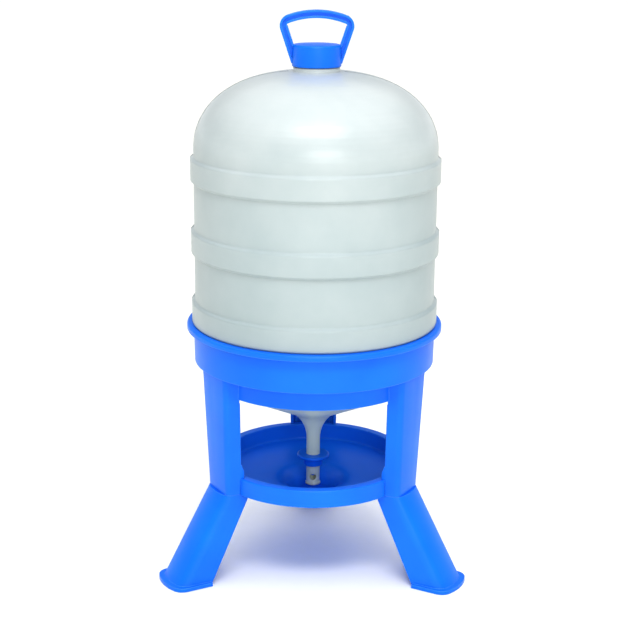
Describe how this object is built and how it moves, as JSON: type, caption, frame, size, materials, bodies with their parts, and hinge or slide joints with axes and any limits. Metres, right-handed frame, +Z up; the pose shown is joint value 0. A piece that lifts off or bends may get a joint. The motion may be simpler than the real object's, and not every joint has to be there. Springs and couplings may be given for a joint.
{
  "type": "poultry siphon drinker",
  "caption": "Free-standing siphon drinker: a translucent tank with a screw cap and handle stands on a splayed-leg stand over an open bowl, with a sliding valve on its spout.",
  "frame": {"origin": "on the drinker's vertical axis, level with the soles of its feet", "axes": "+Z up along the axis, -Y towards the front, between the two front legs, +X to the right of someone facing the front"},
  "size_m": [0.4062, 0.3931, 0.7356],
  "materials": {
    "natural_hdpe": "satin, translucent",
    "blue_pp": "satin",
    "black_rubber": "matte"
  },
  "bodies": {
    "stand": {"stand_frame": "blue_pp", "bowl": "blue_pp", "leg_front_left": "blue_pp", "leg_front_right": "blue_pp", "leg_back": "blue_pp"},
    "tank": {"tank": "natural_hdpe"},
    "seal": {"cap_seal": "black_rubber"},
    "cap": {"cap": "blue_pp"},
    "valve": {"valve_collar": "blue_pp", "valve_seal_upper": "black_rubber", "valve_seal_lower": "black_rubber"}
  },
  "joints": [
    {"name": "tank_lift", "type": "slide", "parent": "stand", "child": "tank", "axis": [0, 0, 1], "range_m": [0, 0.26]},
    {"name": "cap_rise", "type": "slide", "parent": "tank", "child": "seal", "axis": [0, 0, 1], "range_m": [0, 0.0241]},
    {"name": "cap_turn", "type": "hinge", "parent": "seal", "child": "cap", "pos_m": [0, 0, 0.6874], "axis": [0, 0, 1], "range_deg": [0, 1080]},
    {"name": "valve_slide", "type": "slide", "parent": "tank", "child": "valve", "axis": [0, 0, 1], "range_m": [-0.0243, 0.0235]}
  ],
  "couplings": [
    {"joint": "cap_rise", "follows": "cap_turn", "m_per_rad": 0.0012732}
  ]
}
